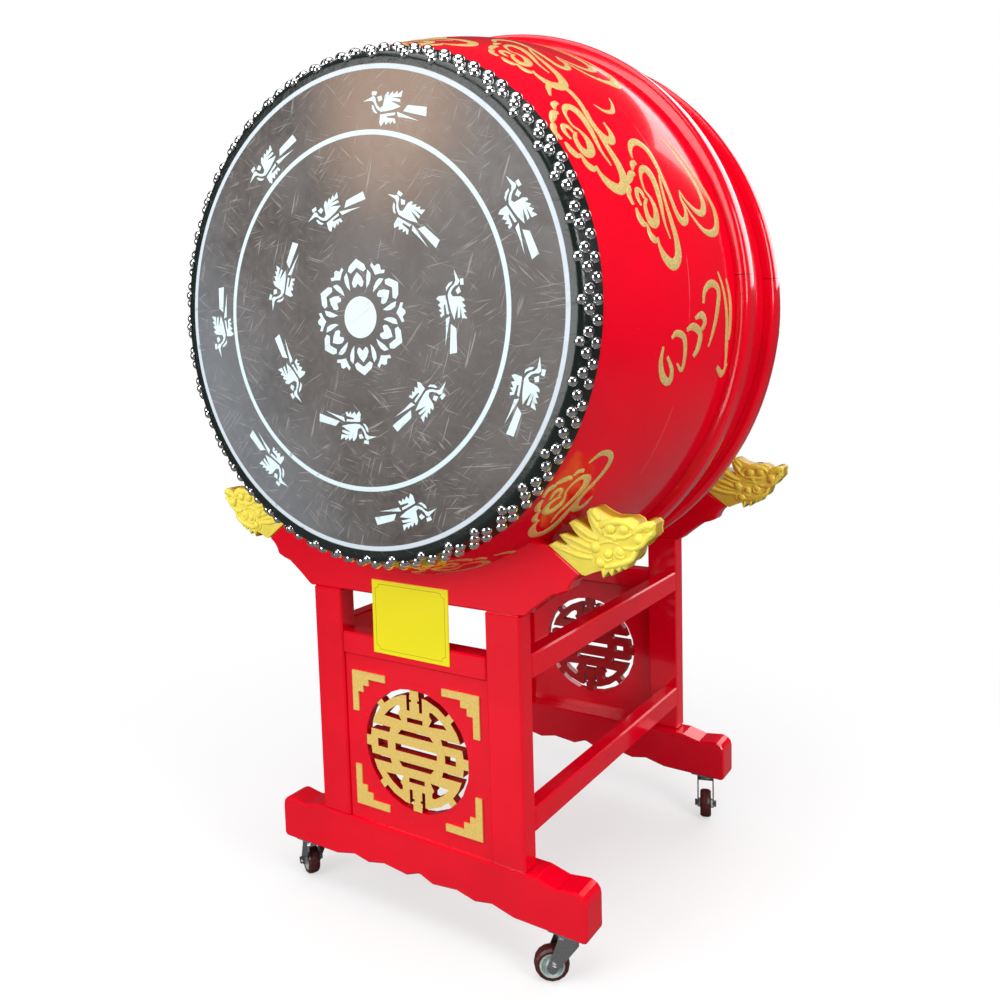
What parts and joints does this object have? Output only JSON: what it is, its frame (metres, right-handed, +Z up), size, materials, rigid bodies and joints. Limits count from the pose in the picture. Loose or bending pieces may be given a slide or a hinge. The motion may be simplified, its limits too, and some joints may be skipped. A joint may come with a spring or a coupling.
{
  "type": "temple drum on a wheeled stand",
  "caption": "Large red lacquered barrel drum with painted hide heads, lying in a carved wooden cradle stand on swivel casters.",
  "frame": {"origin": "on the floor under the middle of the drum", "axes": "+Z up, -Y out of the drum's front head, +X to the right when facing that head"},
  "size_m": [1.0766, 0.96, 1.6973],
  "materials": {
    "red_lacquer": "gloss lacquer",
    "drum_skin": "satin, painted",
    "gold_paint": "matt gold paint",
    "yellow_paint": "satin paint",
    "sign_yellow": "gloss",
    "zinc": "zinc plated",
    "caster_tyre": "satin",
    "caster_core": "satin"
  },
  "bodies": {
    "stand": {"front_foot": "red_lacquer", "front_left_caster_plate": "zinc", "front_left_dragon_head": "yellow_paint", "front_left_post": "red_lacquer", "front_lower_left_fret": "gold_paint", "front_lower_right_fret": "gold_paint", "front_medallion": "gold_paint", "front_mid_rail": "red_lacquer", "front_panel": "red_lacquer", "front_right_caster_plate": "zinc", "front_right_dragon_head": "yellow_paint", "front_right_post": "red_lacquer", "front_upper_left_fret": "gold_paint", "front_upper_right_fret": "gold_paint", "front_yoke": "red_lacquer", "lower_left_stretcher": "red_lacquer", "lower_right_stretcher": "red_lacquer", "rear_foot": "red_lacquer", "rear_left_caster_plate": "zinc", "rear_left_dragon_head": "yellow_paint", "rear_left_post": "red_lacquer", "rear_lower_left_fret": "gold_paint", "rear_lower_right_fret": "gold_paint", "rear_medallion": "gold_paint", "rear_mid_rail": "red_lacquer", "rear_panel": "red_lacquer", "rear_right_caster_plate": "zinc", "rear_right_dragon_head": "yellow_paint", "rear_right_post": "red_lacquer", "rear_upper_left_fret": "gold_paint", "rear_upper_right_fret": "gold_paint", "rear_yoke": "red_lacquer", "sign_plate": "sign_yellow", "upper_left_stretcher": "red_lacquer", "upper_right_stretcher": "red_lacquer"},
    "drum": {"drum_shell": "red_lacquer", "front_hoop": "red_lacquer", "rear_hoop": "red_lacquer", "front_head": "drum_skin", "rear_head": "drum_skin"},
    "front_right_swivel": {"front_right_caster_fork": "zinc", "front_right_caster_axle": "zinc"},
    "front_right_wheel": {"front_right_caster_core": "caster_core", "front_right_caster_tyre": "caster_tyre"},
    "front_left_swivel": {"front_left_caster_fork": "zinc", "front_left_caster_axle": "zinc"},
    "front_left_wheel": {"front_left_caster_core": "caster_core", "front_left_caster_tyre": "caster_tyre"},
    "rear_right_swivel": {"rear_right_caster_fork": "zinc", "rear_right_caster_axle": "zinc"},
    "rear_right_wheel": {"rear_right_caster_core": "caster_core", "rear_right_caster_tyre": "caster_tyre"},
    "rear_left_swivel": {"rear_left_caster_fork": "zinc", "rear_left_caster_axle": "zinc"},
    "rear_left_wheel": {"rear_left_caster_core": "caster_core", "rear_left_caster_tyre": "caster_tyre"}
  },
  "joints": [
    {"name": "drum_lift", "type": "slide", "parent": "stand", "child": "drum", "axis": [0, 0, 1], "range_m": [0, 0.3]},
    {"name": "front_right_swivel_turn", "type": "hinge", "parent": "stand", "child": "front_right_swivel", "pos_m": [0.296, -0.333, 0.0834], "axis": [0, 0, 1], "continuous": true},
    {"name": "front_right_wheel_roll", "type": "hinge", "parent": "front_right_swivel", "child": "front_right_wheel", "pos_m": [0.27252, -0.34825, 0.031], "axis": [0.5446, -0.8387, 0], "continuous": true},
    {"name": "front_left_swivel_turn", "type": "hinge", "parent": "stand", "child": "front_left_swivel", "pos_m": [-0.296, -0.333, 0.0834], "axis": [0, 0, 1], "continuous": true},
    {"name": "front_left_wheel_roll", "type": "hinge", "parent": "front_left_swivel", "child": "front_left_wheel", "pos_m": [-0.32, -0.31858, 0.031], "axis": [-0.515, -0.8572, 0], "continuous": true},
    {"name": "rear_right_swivel_turn", "type": "hinge", "parent": "stand", "child": "rear_right_swivel", "pos_m": [0.296, 0.373, 0.0834], "axis": [0, 0, 1], "continuous": true},
    {"name": "rear_right_wheel_roll", "type": "hinge", "parent": "rear_right_swivel", "child": "rear_right_wheel", "pos_m": [0.30512, 0.34653, 0.031], "axis": [0.9455, 0.3256, 0], "continuous": true},
    {"name": "rear_left_swivel_turn", "type": "hinge", "parent": "stand", "child": "rear_left_swivel", "pos_m": [-0.296, 0.373, 0.0834], "axis": [0, 0, 1], "continuous": true},
    {"name": "rear_left_wheel_roll", "type": "hinge", "parent": "rear_left_swivel", "child": "rear_left_wheel", "pos_m": [-0.31166, 0.34979, 0.031], "axis": [0.829, -0.5592, 0], "continuous": true}
  ]
}
